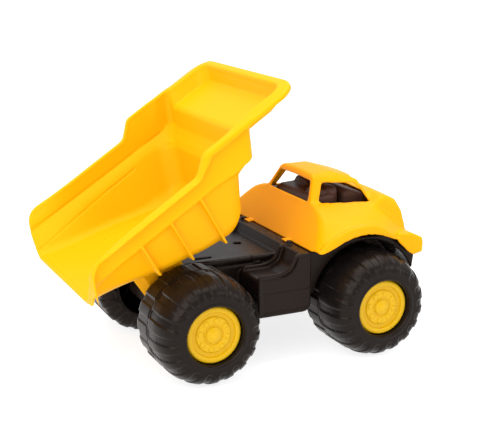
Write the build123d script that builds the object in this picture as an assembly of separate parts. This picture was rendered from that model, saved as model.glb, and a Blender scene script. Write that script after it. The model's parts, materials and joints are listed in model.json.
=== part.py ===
from build123d import *
import os
from math import cos, radians

# Toy dump truck, millimetres. +X is forward, +Y is the left side, +Z is up.
# Origin: on the ground, on the centreline, midway between tail lip and bumper.

# Wheels and axles
AXLE_HEIGHT = 50.0
REAR_AXLE_X = -62.7
FRONT_AXLE_X = 108.7
TYRE_RADIUS = 50.0
TYRE_INNER_Y = 50.6
TYRE_OUTER_Y = 119.0
SHOULDER_RADIAL = 14.2
SHOULDER_AXIAL = 26.9
TYRE_WALL = 2.6
HUB_RADIUS = 25.0
HUB_FACE_Y = 112.5
WEB_Y = 104.0
WEB_THICKNESS = 3.0
INNER_OPENING_RADIUS = 31.0
AXLE_RADIUS = 2.5
RUNNING_CLEARANCE = 0.06
AXLE_END_Y = 110.4
SLEEVE_RADIUS = 6.5
RIB_THICKNESS = 2.0
WHEEL_RIB_COUNT = 6
BOLT_COUNT = 8

# Chassis
WALL = 3.0
SPINE_HALF_WIDTH = 45.0
SPINE_BOTTOM = 46.0
SPINE_REAR_X = REAR_AXLE_X - 21.0
DECK_HEIGHT = 95.4
DECK_FRONT_X = 39.0
CAB_SEAT_HEIGHT = 104.0
CHASSIS_FRONT_X = 164.0
SIDE_BOX_HALF_WIDTH = 88.0
SIDE_BOX_REAR_X = -7.0
SIDE_BOX_FRONT_X = 47.0
HOUSING_TOP = 111.0
LINER_RADIUS = 57.0
LINER_HALF_WIDTH = 82.0
SCREW_X = (90.0, 128.0)
SCREW_Y = 60.0
SCREW_RADIUS = 1.45
SCREW_HEAD_TOP = 107.0
BOSS_RADIUS = 6.5
HINGE_BOSS_RADIUS = 6.0
CROSS_RIB_HALF = 1.2
CROSS_RIB_X = (-24.0, 22.0, 66.0)
DECK_HOLE_X = 11.0
DECK_HOLE_RADIUS = 3.25
DECK_SLOT_PLACE = (-17.0, 34.0)

# Dump bed, drawn level in its lowered pose with the hinge pin as (0, 0)
PIVOT_X = REAR_AXLE_X
PIVOT_Z = 80.0
RAISED_ANGLE = 33.6
BED_WALL = 2.6
RIM_HALF_WIDTH = 101.0
BAND_HALF_WIDTH = 98.0
RIM_LOW = 93.0
RIM_HIGH = 107.3
BED_FRONT = 172.5
OPEN_TOP = RIM_HIGH + 40.0
LIP_HEIGHT = 3.2
SIDE_RIB_PLACES = (-19.0, 13.0, 46.0)
SIDE_RIB_HALF = 1.1
CORNER_RADIUS = 19.0
PIN_RADIUS = 2.5
CHEEK_INNER_Y = 45.5
CHEEK_OUTER_Y = 48.2
FLANGE_INNER_Y = 38.5
STAR_WASHER_THICKNESS = 1.2

# Cab
CAB_WALL = 2.5
CAB_REAR_X = 47.4
CAB_FLOOR = 104.2
BUMPER_X = 169.1


def prism_xz(points, half_width):
    """Solid of an (x, z) outline, spread evenly about the centreline."""
    face = make_face(Polyline([(x, 0, z) for x, z in points], close=True))
    return extrude(face, amount=half_width, dir=(0, 1, 0), both=True)


def prism_yz(half_points, x_low, x_high):
    """Solid of a (y, z) half outline mirrored in the centreline."""
    mirrored = [(-y, z) for y, z in reversed(half_points) if y > 0]
    outline = [(x_low, y, z) for y, z in list(half_points) + mirrored]
    face = make_face(Polyline(outline, close=True))
    return extrude(face, amount=x_high - x_low, dir=(1, 0, 0))


def prism_xy(points, z_low, z_high):
    """Solid of an (x, y) outline between two heights."""
    face = make_face(Polyline([(x, y, z_low) for x, y in points], close=True))
    return extrude(face, amount=z_high - z_low, dir=(0, 0, 1))


def block(x_low, x_high, y_low, y_high, z_low, z_high):
    size = (x_high - x_low, y_high - y_low, z_high - z_low)
    return Pos((x_low + x_high) / 2, (y_low + y_high) / 2, (z_low + z_high) / 2) * Box(*size)


def rod(x, z, radius, y_low, y_high):
    """Cylinder along Y."""
    return Pos(x, (y_low + y_high) / 2, z) * Rot(90, 0, 0) * Cylinder(radius, y_high - y_low)


def turned(profile):
    """Revolve an (r, y) outline about the Y axis."""
    face = make_face(profile)
    return revolve(face, Axis.Y)


def profile_lines(points):
    return Polyline([(r, y, 0) for r, y in points], close=True)


# ---------------------------------------------------------------- wheels

def tyre_outer(radius, inner_y, outer_y, inset):
    """Tyre envelope outline in (r, y), with round shoulders."""
    radial = SHOULDER_RADIAL
    axial = SHOULDER_AXIAL - inset
    inner = SHOULDER_AXIAL * 0.45 - inset
    with BuildLine() as line:
        Line((0, inner_y), (radius - radial, inner_y))
        EllipticalCenterArc((radius - radial, inner_y + inner), radial, inner, -90, arc_size=90)
        Line((radius, inner_y + inner), (radius, outer_y - axial))
        EllipticalCenterArc((radius - radial, outer_y - axial), radial, axial, 0, arc_size=90)
        Line((radius - radial, outer_y), (0, outer_y))
        Line((0, outer_y), (0, inner_y))
    return revolve(make_face(line.line), Axis.Y)


def make_tyre():
    """Hollow left-hand tyre about the Y axis, open towards the chassis."""
    envelope = tyre_outer(TYRE_RADIUS, TYRE_INNER_Y, TYRE_OUTER_Y, 0)
    hollow = tyre_outer(TYRE_RADIUS - TYRE_WALL, TYRE_INNER_Y + TYRE_WALL, TYRE_OUTER_Y - TYRE_WALL, 1.5)
    seat_radius = HUB_RADIUS + 0.6
    web_outer = WEB_Y + WEB_THICKNESS
    cup = turned(profile_lines([
        (0, WEB_Y), (seat_radius + TYRE_WALL, WEB_Y), (seat_radius + TYRE_WALL, TYRE_OUTER_Y),
        (0, TYRE_OUTER_Y)]))
    recess = turned(profile_lines([
        (0, web_outer), (seat_radius, web_outer), (seat_radius, TYRE_OUTER_Y - 2.0),
        (seat_radius + 1.6, TYRE_OUTER_Y + 1), (0, TYRE_OUTER_Y + 1)]))
    opening = turned(profile_lines([
        (0, TYRE_INNER_Y - 1), (INNER_OPENING_RADIUS, TYRE_INNER_Y - 1),
        (INNER_OPENING_RADIUS, TYRE_INNER_Y + TYRE_WALL + 1), (0, TYRE_INNER_Y + TYRE_WALL + 1)]))
    sleeve = rod(0, 0, SLEEVE_RADIUS, SPINE_HALF_WIDTH + 1.0, WEB_Y + 1)
    bore = rod(0, 0, AXLE_RADIUS + RUNNING_CLEARANCE, 0, TYRE_OUTER_Y)
    body = envelope - hollow - opening + cup + sleeve - recess - bore
    ribs = make_wheel_ribs()
    return body + ribs - bore - tread_groove()


def make_wheel_ribs():
    """Radial ribs that tie the axle sleeve to the web."""
    half = RIB_THICKNESS / 2
    rib = block(SLEEVE_RADIUS - 1.5, HUB_RADIUS + 2.0, WEB_Y - 18.0, WEB_Y + 0.5, -half, half)
    ribs = rib
    for index in range(1, WHEEL_RIB_COUNT):
        ribs = ribs + Rot(0, index * 360.0 / WHEEL_RIB_COUNT, 0) * rib
    return ribs


def tread_groove():
    """Parting groove round the middle of the tread."""
    middle = TYRE_INNER_Y + 34.0
    return turned(profile_lines([
        (TYRE_RADIUS - 0.8, middle), (TYRE_RADIUS + 1, middle - 1.2), (TYRE_RADIUS + 1, middle + 1.2)]))


def make_hub():
    """Snap-in hub cap, left hand, about the Y axis."""
    face = HUB_FACE_Y
    back = WEB_Y + WEB_THICKNESS + 0.05
    r = HUB_RADIUS
    cap = turned(profile_lines([
        (0, back), (r, back), (r, face - 1.6), (r - 0.8, face - 0.4), (r - 2.2, face),
        (0.81 * r, face - 0.1), (0.77 * r, face - 2.4), (0.65 * r, face - 2.4), (0.63 * r, face - 0.9),
        (0.36 * r, face - 0.9), (0.34 * r, face - 1.9), (0.29 * r, face - 1.9), (0.26 * r, face - 0.3),
        (0.2 * r, face + 0.6), (0, face + 0.9)]))
    pocket = turned(profile_lines([
        (0, back - 1), (0.9 * r, back - 1), (0.9 * r, back + 1.5), (0.26 * r, back + 1.5),
        (0.26 * r, back + 3.4), (0.2 * r, back + 4.2), (0, back + 4.2)]))
    bolt = Pos(0.5 * r, face - 1.0, 0) * Rot(90, 0, 0) * Cylinder(0.09 * r, 2.0)
    hub = cap - pocket
    for index in range(BOLT_COUNT):
        hub = hub + Rot(0, index * 360.0 / BOLT_COUNT, 0) * bolt
    return hub


def make_push_nut(radius, y_low):
    """Pressed-steel push nut that grips a rod end, crowned outwards."""
    ring = turned(profile_lines([
        (radius, y_low), (6.2, y_low), (6.2, y_low + 0.8), (4.6, y_low + 1.0),
        (radius + 0.9, y_low + 2.4), (radius, y_low + 2.4)]))
    return ring


def make_axle():
    shaft = rod(0, 0, AXLE_RADIUS, -AXLE_END_Y, AXLE_END_Y)
    return chamfer(shaft.edges().filter_by(GeomType.CIRCLE), 0.5)


def place_wheel(shape, x, left):
    """Put a left-hand wheel part on its axle, turned round for the right side."""
    side = shape if left else Rot(0, 0, 180) * shape
    return Pos(x, 0, AXLE_HEIGHT) * side


# ---------------------------------------------------------------- chassis

def spine_form(inset):
    """Long central box from the hinge to the bumper, stepped up under the cab."""
    x_low = SPINE_REAR_X + inset
    x_high = CHASSIS_FRONT_X - 4.0 - inset
    bottom = SPINE_BOTTOM - (1.0 if inset else 0.0)
    outline = [(x_low, bottom), (x_low, DECK_HEIGHT - inset), (DECK_FRONT_X + inset, DECK_HEIGHT - inset),
               (DECK_FRONT_X + inset + 3.0, CAB_SEAT_HEIGHT - inset),
               (x_high - 12.0, CAB_SEAT_HEIGHT - inset),
               (x_high, 92.0), (x_high, bottom)]
    return prism_xz(outline, SPINE_HALF_WIDTH - inset)


def side_box_form(inset):
    """Step boxes on both sides, whose top sweeps up under the cab."""
    rear = SIDE_BOX_REAR_X + inset
    front = SIDE_BOX_FRONT_X - inset
    bottom = SPINE_BOTTOM + 2.0 - (3.0 if inset else 0.0)
    outline = [(rear, bottom), (rear, 84.0 - inset), (18.0, 84.5 - inset),
               (31.0 + 0.5 * inset, 89.0 - inset),
               (38.0 + inset, 96.0 - 0.3 * inset), (40.0 + inset, CAB_SEAT_HEIGHT - inset),
               (front, CAB_SEAT_HEIGHT - inset), (front, bottom + 8.0), (front - 8.0, bottom)]
    return prism_xz(outline, SIDE_BOX_HALF_WIDTH - inset)


def side_box_lip():
    """Raised lip along the outer edge of each side box, leaving a shallow trough inside it."""
    path = [(SIDE_BOX_REAR_X, 83.0), (SIDE_BOX_REAR_X, 87.5), (17.0, 88.0), (28.5, 92.0), (34.5, 98.0),
            (37.0, CAB_SEAT_HEIGHT), (45.0, CAB_SEAT_HEIGHT), (45.0, 100.0), (40.0, 83.0)]
    lip = prism_xz(path, SIDE_BOX_HALF_WIDTH)
    return lip - block(-20, 60, -SIDE_BOX_HALF_WIDTH + 3.0, SIDE_BOX_HALF_WIDTH - 3.0, 60, 120)


def wheel_housing_form(inset):
    """Raised housing over the front wheels that the cab drops onto."""
    rear = SIDE_BOX_FRONT_X - inset
    front = CHASSIS_FRONT_X - inset
    outline = [(rear, 62.0), (rear, CAB_SEAT_HEIGHT - inset), (57.0, CAB_SEAT_HEIGHT - inset),
               (76.0, HOUSING_TOP - inset), (134.0, HOUSING_TOP - inset), (154.0, 100.0 - inset),
               (front, 91.0 - inset), (front - 3.0, 70.0)]
    housing = prism_xz(outline, LINER_HALF_WIDTH - inset)
    arch = rod(FRONT_AXLE_X, AXLE_HEIGHT, LINER_RADIUS + inset, -90, 90)
    return housing - arch


def axle_boss(x):
    """Bearing tube across the spine for a wheel axle."""
    return rod(x, AXLE_HEIGHT, BOSS_RADIUS, -SPINE_HALF_WIDTH, SPINE_HALF_WIDTH)


def cross_ribs():
    """Stiffening walls inside the hollow spine."""
    side = SPINE_HALF_WIDTH - 1.0
    half = CROSS_RIB_HALF
    ribs = block(REAR_AXLE_X - half, REAR_AXLE_X + half, -side, side, AXLE_HEIGHT, DECK_HEIGHT - 1)
    ribs = ribs + block(FRONT_AXLE_X - half, FRONT_AXLE_X + half, -side, side, AXLE_HEIGHT,
                        CAB_SEAT_HEIGHT - 1)
    for x in CROSS_RIB_X:
        ribs = ribs + block(x - half, x + half, -side, side, 64.0, DECK_HEIGHT - 1)
    return ribs


def screw_places():
    return [(x, side * SCREW_Y) for x in SCREW_X for side in (-1, 1)]


def make_chassis():
    body = spine_form(0) + side_box_form(0) + side_box_lip() + wheel_housing_form(0)
    body = body - spine_form(WALL) - side_box_form(WALL) - wheel_housing_form(WALL)
    body = body + axle_boss(REAR_AXLE_X) + axle_boss(FRONT_AXLE_X) + cross_ribs()
    hinge_boss = rod(PIVOT_X, PIVOT_Z, HINGE_BOSS_RADIUS, -SPINE_HALF_WIDTH, SPINE_HALF_WIDTH)
    body = body + hinge_boss
    for x, z, radius in ((REAR_AXLE_X, AXLE_HEIGHT, AXLE_RADIUS),
                         (FRONT_AXLE_X, AXLE_HEIGHT, AXLE_RADIUS),
                         (PIVOT_X, PIVOT_Z, PIN_RADIUS)):
        body = body - rod(x, z, radius + RUNNING_CLEARANCE, -95, 95)
    body = body - Pos(DECK_HOLE_X, 0, DECK_HEIGHT) * Cylinder(DECK_HOLE_RADIUS, 12)
    slot_x, slot_y = DECK_SLOT_PLACE
    for side in (-1, 1):
        body = body - Pos(slot_x, side * slot_y, DECK_HEIGHT) * Box(20, 4, 8)
    for x, y in screw_places():
        column = Pos(x, y, 105.0) * Cylinder(4.4, 11.9)
        body = body + (column - rod(FRONT_AXLE_X, AXLE_HEIGHT, LINER_RADIUS, -90, 90))
        body = body - Pos(x, y, 108.0) * Cylinder(1.7, 12) - Pos(x, y,
                                                                 SCREW_HEAD_TOP - 6.0) * Cylinder(3.2,
                                                                                                  12.0)
    return body


# ---------------------------------------------------------------- dump bed

def tub_floor(p):
    """Height of the tub's outer floor at a distance p ahead of the hinge pin."""
    return 57.0 - 0.306 * (p + 82.0)


def tub_form(inset):
    """Lower tub: sloping floor and front wall, sides drawn in towards the floor."""
    drop = inset / cos(radians(17))
    tail = -140.0 if inset else -82.0
    tail_top = -140.0 if inset else -71.5
    outline = [(tail, tub_floor(tail) + drop), (52.0, tub_floor(52.0) + drop),
               (71.0 - inset, 18.0 + drop),
               (92.5 - inset, 68.0), (94.0 - inset, 80.0), (tail_top, 80.0)]
    side = prism_xz(outline, 120)
    section = prism_yz([(0, 10), (75.0 - inset, 10), (84.0 - inset, 71.0), (84.0 - inset, 81.0),
                        (0, 81.0)], -150, 180)
    return side & section


def band_form(inset):
    """Upper band that stands proud of the tub, up to the rim."""
    if inset:
        outline = [(-140.0, 75.0 + inset), (104.0, 75.0 + inset), (113.4, RIM_LOW), (113.4, OPEN_TOP),
                   (-140.0, OPEN_TOP)]
    else:
        outline = [(-74.0, 75.0), (106.0, 75.0), (116.0, 90.0), (120.0, RIM_HIGH), (69.8, RIM_HIGH),
                   (54.2, RIM_LOW), (-66.0, RIM_LOW)]
    side = prism_xz(outline, 120)
    section = prism_yz([(0, 70), (95.0 - inset, 70), (95.0 - inset, 75),
                        (BAND_HALF_WIDTH - inset, RIM_HIGH),
                        (BAND_HALF_WIDTH - inset, OPEN_TOP), (0, OPEN_TOP)], -150, 180)
    return side & section


def canopy_form(inset):
    """Shallow tray over the cab."""
    front = BED_FRONT - 3.5 - inset * 1.6
    start = 100.0
    outline = [(start, 90.3 + inset), (158.5, 90.3 + inset), (front, RIM_HIGH)]
    if inset:
        outline.append((front, OPEN_TOP))
    outline.append((start, outline[-1][1]))
    side = prism_xz(outline, 120)
    section = prism_yz([(0, 85), (81.5 - inset, 85), (82.5 - inset, 90.3), (97.5 - inset, RIM_HIGH - 2),
                        (BAND_HALF_WIDTH - inset, OPEN_TOP), (0, OPEN_TOP)], -150, 180)
    return side & section


def rim_lip():
    """Flange that runs round the whole rim."""
    t = LIP_HEIGHT
    outline = [(-67.2, RIM_LOW - t), (-65.5, RIM_LOW), (54.2, RIM_LOW), (69.8, RIM_HIGH),
               (BED_FRONT, RIM_HIGH),
               (BED_FRONT - 1, RIM_HIGH - t - 1), (71.2, RIM_HIGH - t), (55.6, RIM_LOW - t)]
    return prism_xz(outline, RIM_HALF_WIDTH)


def plan_outline(inset):
    """Plan of the bed with the two rounded front corners."""
    front = BED_FRONT - inset
    y = RIM_HALF_WIDTH - inset
    plan = block(-220, front, -y, y, 0, 200)
    corners = plan.edges().filter_by(Axis.Z).sort_by(Axis.X)[-2:]
    return fillet(corners, CORNER_RADIUS)


def hinge_bracket():
    """Cheeks that straddle the chassis, each with a flange bent inwards at the rear."""
    outline = [(-28.0, 52.0), (8.5, 41.0), (8.5, 0.0), (6.0, -6.0), (0.0, -8.5), (-8.0, -8.0),
               (-28.0, 2.0)]
    plates = prism_xz(outline, CHEEK_OUTER_Y) - prism_xz(outline, CHEEK_INNER_Y)
    flange = prism_xy([(-27.5, CHEEK_OUTER_Y), (-36.5, FLANGE_INNER_Y + 2.0), (-34.0, FLANGE_INNER_Y),
                       (-25.5, CHEEK_INNER_Y)], 3.0, 56.0)
    return plates + flange + mirror(flange, about=Plane.XZ)


def side_ribs():
    """Three shallow outer ribs on each side wall of the tub."""
    ribs = None
    for p in SIDE_RIB_PLACES:
        low = tub_floor(p)
        section = prism_yz([(0, low), (76.0 + 0.14 * (low - 10), low), (93.5, 76.0), (0, 76.0)],
                           p - SIDE_RIB_HALF, p + SIDE_RIB_HALF)
        ribs = section if ribs is None else ribs + section
    return ribs


def make_dump_bed():
    shell = tub_form(0) + side_ribs() + band_form(0) + canopy_form(0) + rim_lip()
    shell = shell & plan_outline(0)
    hollow = tub_form(BED_WALL) + band_form(BED_WALL) + (canopy_form(BED_WALL) & plan_outline(5.0))
    bed = shell - hollow
    bed = bed + (hinge_bracket() - tub_form(BED_WALL))
    bed = bed - rod(0, 0, PIN_RADIUS + RUNNING_CLEARANCE, -60, 60)
    return Pos(PIVOT_X, 0, PIVOT_Z) * Rot(0, -RAISED_ANGLE, 0) * bed


def make_hinge_pin():
    end = CHEEK_OUTER_Y + STAR_WASHER_THICKNESS + 0.4
    pin = rod(PIVOT_X, PIVOT_Z, PIN_RADIUS, -end, end)
    return chamfer(pin.edges().filter_by(GeomType.CIRCLE), 0.4)


def make_star_washer():
    """Thin spring-steel washer that keeps the hinge pin in place, left hand."""
    y = CHEEK_OUTER_Y + 0.1
    return Pos(PIVOT_X, 0, PIVOT_Z) * turned(profile_lines([
        (PIN_RADIUS, y), (5.4, y), (5.4, y + 0.5), (PIN_RADIUS + 0.7, y + STAR_WASHER_THICKNESS),
        (PIN_RADIUS, y + STAR_WASHER_THICKNESS)]))


# ---------------------------------------------------------------- cab

def cab_body_form(inset):
    """Wide lower body with the fenders and bumper."""
    floor = 60.0
    outline = [(CAB_REAR_X + inset, floor), (CAB_REAR_X + inset, 105.0), (68.0 + inset, 139.5 - inset),
               (100.0, 139.5 - inset), (136.0, 124.0 - inset), (152.0, 113.5 - inset),
               (158.0, 105.5 - inset),
               (BUMPER_X - 2.0 - inset, 104.0 - inset), (BUMPER_X - inset, 93.0),
               (BUMPER_X - inset, floor)]
    side = prism_xz(outline, 120)
    half = [(0, floor), (99.0 - inset, floor), (98.5 - inset, 108.0), (95.0 - inset, 113.0),
            (77.0 - inset, 127.0),
            (64.0 - inset, 136.5 - inset), (45.0 - inset, 139.6 - inset), (0, 139.6 - inset)]
    section = prism_yz(half, 30, 190)
    return side & section & cab_plan(inset)


def cab_plan(inset):
    half = [(CAB_REAR_X + inset, 92.0 - inset), (54.0, 99.0 - inset), (102.0, 98.0 - inset),
            (140.0, 93.0 - inset),
            (166.0 - inset, 88.0 - inset), (BUMPER_X - inset, 82.0 - inset)]
    points = half + [(x, -y) for x, y in reversed(half)]
    return prism_xy(points, 50, 190)


def hood_form(inset):
    outline = [(70.0, 100.0), (70.0, 139.0 - inset), (138.0, 142.5 - inset), (150.0, 138.5 - inset),
               (157.0 - inset, 131.0 - inset), (163.0 - inset, 111.0), (163.0 - inset, 100.0)]
    side = prism_xz(outline, 120)
    half = [(0, 95), (70.0 - inset, 95), (66.0 - inset, 128.0), (56.0 - inset, 138.0 - inset),
            (0, 143.5 - inset)]
    return side & prism_yz(half, 60, 190)


def greenhouse_form(inset):
    outline = [(62.0 + inset, 130.0), (67.0 + inset, 138.0), (77.5 + inset, 163.0 - inset),
               (83.0, 166.0 - inset),
               (103.0, 166.5 - inset), (126.0 - inset, 158.0 - inset), (143.0 - inset, 139.5),
               (143.0 - inset, 130.0)]
    side = prism_xz(outline, 120)
    half = [(0, 125), (50.0 - inset, 125), (46.0 - inset, 138.0), (33.0 - inset, 162.0 - inset),
            (24.0, 166.5 - inset),
            (0, 168.0 - inset)]
    return side & prism_yz(half, 50, 190)


def cab_windows():
    """Open side, rear and front window cut-outs."""
    side = prism_xz([(80.0, 136.0), (79.0, 141.0), (87.0, 154.5), (119.0, 152.5), (124.0, 150.0),
                     (132.0, 137.0),
                     (129.0, 135.5)], 70)
    rear = prism_yz([(0, 139.0), (38.5, 139.0), (30.0, 158.0), (0, 158.0)], 55, 90)
    front = prism_yz([(0, 141.5), (36.0, 141.5), (28.5, 156.5), (0, 157.5)], 122, 150)
    return side + rear + front


def snap_tabs():
    tab = block(CAB_REAR_X - 6.0, CAB_REAR_X + 2.0, -46.0, -37.0, CAB_FLOOR, CAB_FLOOR + 2.0)
    return tab + mirror(tab, about=Plane.XZ)


def screw_bosses():
    """Posts under the cab's shoulders that take the four screws."""
    bosses = None
    for x, y in screw_places():
        post = Pos(x, y, (HOUSING_TOP + 0.2 + 133.0) / 2) * Cylinder(3.8, 133.0 - HOUSING_TOP - 0.2)
        bosses = post if bosses is None else bosses + post
    return bosses


def make_cab():
    outer = cab_body_form(0) + hood_form(0) + greenhouse_form(0)
    inner = cab_body_form(CAB_WALL) + hood_form(CAB_WALL) + greenhouse_form(CAB_WALL)
    cab = outer - inner - cab_windows()
    below = block(0, 200, -120, 120, 0, CAB_FLOOR) - block(150, 200, -120, 120, 88.5, 200)
    cab = cab - below
    arch = rod(FRONT_AXLE_X - 3.0, 46.0, 69.0, -120, 120)
    cab = cab - (arch - block(0, 200, -LINER_HALF_WIDTH - 4, LINER_HALF_WIDTH + 4, 0, 200)) + snap_tabs()
    cab = cab + (screw_bosses() & (outer - cab_windows()))
    for x, y in screw_places():
        cab = cab - Pos(x, y, 114.0) * Cylinder(SCREW_RADIUS, 13.0)
    return cab


def make_screws():
    """Four pan-head screws driven up through the chassis into the cab posts."""
    screws = []
    for x, y in screw_places():
        head = Pos(x, y, SCREW_HEAD_TOP - 1.0) * Cylinder(2.9, 2.0)
        shank = Pos(x, y, SCREW_HEAD_TOP + 6.0) * Cylinder(SCREW_RADIUS, 12.0)
        slot = Pos(x, y, SCREW_HEAD_TOP - 2.0)
        screws.append(head + shank - slot * Box(3.4, 0.8, 2.0) - slot * Box(0.8, 3.4, 2.0))
    return Compound(children=screws)


def make_interior():
    """Insert behind the windows: floor, rear shelf, two seat backs and a dashboard cowl."""
    floor = HOUSING_TOP + 0.3
    base = block(72.0, 139.0, -38.0, 38.0, floor, floor + 2.5)
    shelf = prism_xz([(72.0, floor), (72.0, 131.0), (76.0, 135.5), (96.0, 135.5), (96.0, floor)], 37.0)
    shelf = shelf - prism_xz([(74.5, floor - 1), (74.5, 130.0), (77.5, 133.0), (93.5, 133.0),
                              (93.5, floor - 1)], 34.5)
    cowl = prism_xz([(113.0, floor), (110.0, 140.0), (118.0, 144.5), (128.0, 143.0), (137.0, 138.5),
                     (137.0, floor)], 32.0)
    cowl = cowl - prism_xz([(115.5, floor - 1), (112.8, 139.0), (118.5, 142.0), (127.0, 140.5),
                            (134.5, 136.5),
                            (134.5, floor - 1)], 29.5)
    seats = None
    for side in (-1, 1):
        back = Pos(98.5, side * 19.0, (floor + 150.0) / 2) * Box(12.0, 28.0, 150.0 - floor)
        back = fillet(back.edges().filter_by(Axis.X).sort_by(Axis.Z)[-2:], 7.0)
        back = fillet(back.edges().group_by(Axis.Z)[-1], 3.5)
        seats = back if seats is None else seats + back
    return base + shelf + cowl + seats


def export_all():
    os.makedirs("parts", exist_ok=True)
    tyre = make_tyre()
    hub = make_hub()
    washer = make_star_washer()
    nut = make_push_nut(AXLE_RADIUS, WEB_Y + WEB_THICKNESS + 0.1)
    parts = {
        "chassis": make_chassis(),
        "cab": make_cab(),
        "cab_interior": make_interior(),
        "dump_bed": make_dump_bed(),
        "bed_hinge_pin": make_hinge_pin(),
        "hinge_left_washer": washer,
        "hinge_right_washer": mirror(washer, about=Plane.XZ),
        "cab_screws": make_screws(),
        "front_axle": Pos(FRONT_AXLE_X, 0, AXLE_HEIGHT) * make_axle(),
        "rear_axle": Pos(REAR_AXLE_X, 0, AXLE_HEIGHT) * make_axle(),
    }
    for end, x in (("front", FRONT_AXLE_X), ("rear", REAR_AXLE_X)):
        for side, left in (("left", True), ("right", False)):
            parts[f"{end}_{side}_tyre"] = place_wheel(tyre, x, left)
            parts[f"{end}_{side}_hub"] = place_wheel(hub, x, left)
            parts[f"{end}_{side}_push_nut"] = place_wheel(nut, x, left)
    for name, shape in parts.items():
        shape.label = name
        export_step(shape, f"parts/{name}.step")


export_all()
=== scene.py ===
import json
import math

import bpy
import numpy as np
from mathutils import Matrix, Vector


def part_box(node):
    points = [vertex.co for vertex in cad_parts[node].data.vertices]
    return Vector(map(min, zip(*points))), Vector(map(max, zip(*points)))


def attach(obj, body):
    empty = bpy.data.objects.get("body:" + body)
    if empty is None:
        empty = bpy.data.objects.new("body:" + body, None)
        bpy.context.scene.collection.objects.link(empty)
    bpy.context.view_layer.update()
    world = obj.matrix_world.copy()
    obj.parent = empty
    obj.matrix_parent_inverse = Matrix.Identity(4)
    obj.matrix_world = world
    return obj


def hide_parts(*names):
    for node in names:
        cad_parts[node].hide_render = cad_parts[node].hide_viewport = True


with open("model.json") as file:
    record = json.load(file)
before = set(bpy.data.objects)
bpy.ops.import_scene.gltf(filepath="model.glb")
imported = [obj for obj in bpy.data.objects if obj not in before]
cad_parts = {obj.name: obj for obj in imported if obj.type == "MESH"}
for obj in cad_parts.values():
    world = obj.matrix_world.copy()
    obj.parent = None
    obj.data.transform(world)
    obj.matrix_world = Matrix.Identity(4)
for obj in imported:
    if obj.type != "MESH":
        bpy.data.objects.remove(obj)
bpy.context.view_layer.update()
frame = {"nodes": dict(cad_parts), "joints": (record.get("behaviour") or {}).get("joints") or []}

# The toy's moulded plastic pieces are modelled here as distance fields in millimetres, in the row
# frame (+X forward, +Y left, +Z up), and meshed in metres. A field is negative inside the material.

MM = 0.001
JOINTS = {joint["name"]: joint for joint in frame["joints"]}


def joint_place(name):
    return [c / MM for c in JOINTS[name]["pos_m"]]


def node_box(name):
    """Lowest and highest corner of a CAD node in millimetres."""
    return [[c / MM for c in corner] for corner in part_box(name)]


PIVOT_X, _, PIVOT_Z = joint_place("bed_tilt")
RAISED_ANGLE = math.radians(-JOINTS["bed_tilt"]["range_deg"][0])
REAR_AXLE_X, _, AXLE_Z = joint_place("rear_axle_spin")
FRONT_AXLE_X = joint_place("front_axle_spin")[0]

# ---------------------------------------------------------------- distance fields


def sample_axes(low, high, step):
    """Sample coordinates of a box of space, as three arrays that broadcast together."""
    x, y, z = (np.arange(a - 2 * step, b + 2.5 * step, step, dtype=np.float32) for a, b in zip(low, high))
    return x[:, None, None], y[None, :, None], z[None, None, :]


def round_max(a, b, r):
    """Overlap of two forms, with the edge between them rounded to radius r."""
    return np.minimum(-r, np.maximum(a, b)) + np.hypot(np.maximum(a + r, 0), np.maximum(b + r, 0))


def round_min(a, b, r):
    """Union of two forms, with the corner between them filled to radius r."""
    return np.maximum(r, np.minimum(a, b)) - np.hypot(np.maximum(r - a, 0), np.maximum(r - b, 0))


def overlap(r, *forms):
    result = forms[0]
    for form in forms[1:]:
        result = round_max(result, form, r)
    return result


def line(u, v, a, b):
    """Distance from the line through a and b, positive on the left of the way from a to b."""
    du, dv = b[0] - a[0], b[1] - a[1]
    return (du * (v - a[1]) - dv * (u - a[0])) / math.hypot(du, dv)


def smoothstep(t):
    t = np.clip(t, 0, 1)
    return t * t * (3 - 2 * t)


def rounded(corners, step=12):
    """Closed outline through (u, v, radius) corners, each turned through an arc."""
    points = []
    for index, (u, v, radius) in enumerate(corners):
        corner = np.array((u, v), float)
        if radius == 0:
            points.append((u, v))
            continue
        before = np.array(corners[index - 1][:2], float) - corner
        after = np.array(corners[(index + 1) % len(corners)][:2], float) - corner
        before /= np.linalg.norm(before)
        after /= np.linalg.norm(after)
        half = math.acos(np.clip(before @ after, -1, 1)) / 2
        centre = corner + (before + after) / np.linalg.norm(before + after) * radius / math.sin(half)
        start = corner + before * radius / math.tan(half) - centre
        end = corner + after * radius / math.tan(half) - centre
        angle = math.atan2(start[1], start[0])
        turn = (math.atan2(end[1], end[0]) - angle + math.pi) % (2 * math.pi) - math.pi
        count = max(2, math.ceil(abs(math.degrees(turn)) / step))
        for k in range(count + 1):
            a = angle + turn * k / count
            points.append((centre[0] + radius * math.cos(a), centre[1] + radius * math.sin(a)))
    return points


def outline_distance(points, u, v):
    """Signed distance from (u, v) to a closed outline, negative inside."""
    u, v = np.broadcast_arrays(u, v)
    nearest = np.full(u.shape, 1e9, np.float32)
    inside = np.zeros(u.shape, bool)
    for (au, av), (bu, bv) in zip(points, points[1:] + points[:1]):
        du, dv = bu - au, bv - av
        t = np.clip(((u - au) * du + (v - av) * dv) / (du * du + dv * dv + 1e-12), 0, 1)
        nearest = np.minimum(nearest, (u - au - t * du) ** 2 + (v - av - t * dv) ** 2)
        if dv:
            inside ^= ((av > v) != (bv > v)) & (u < au + (v - av) * du / dv)
    return np.where(inside, -1, 1) * np.sqrt(nearest)


def corner_form(corners, u, v):
    return outline_distance(rounded(corners), u, v)


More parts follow.
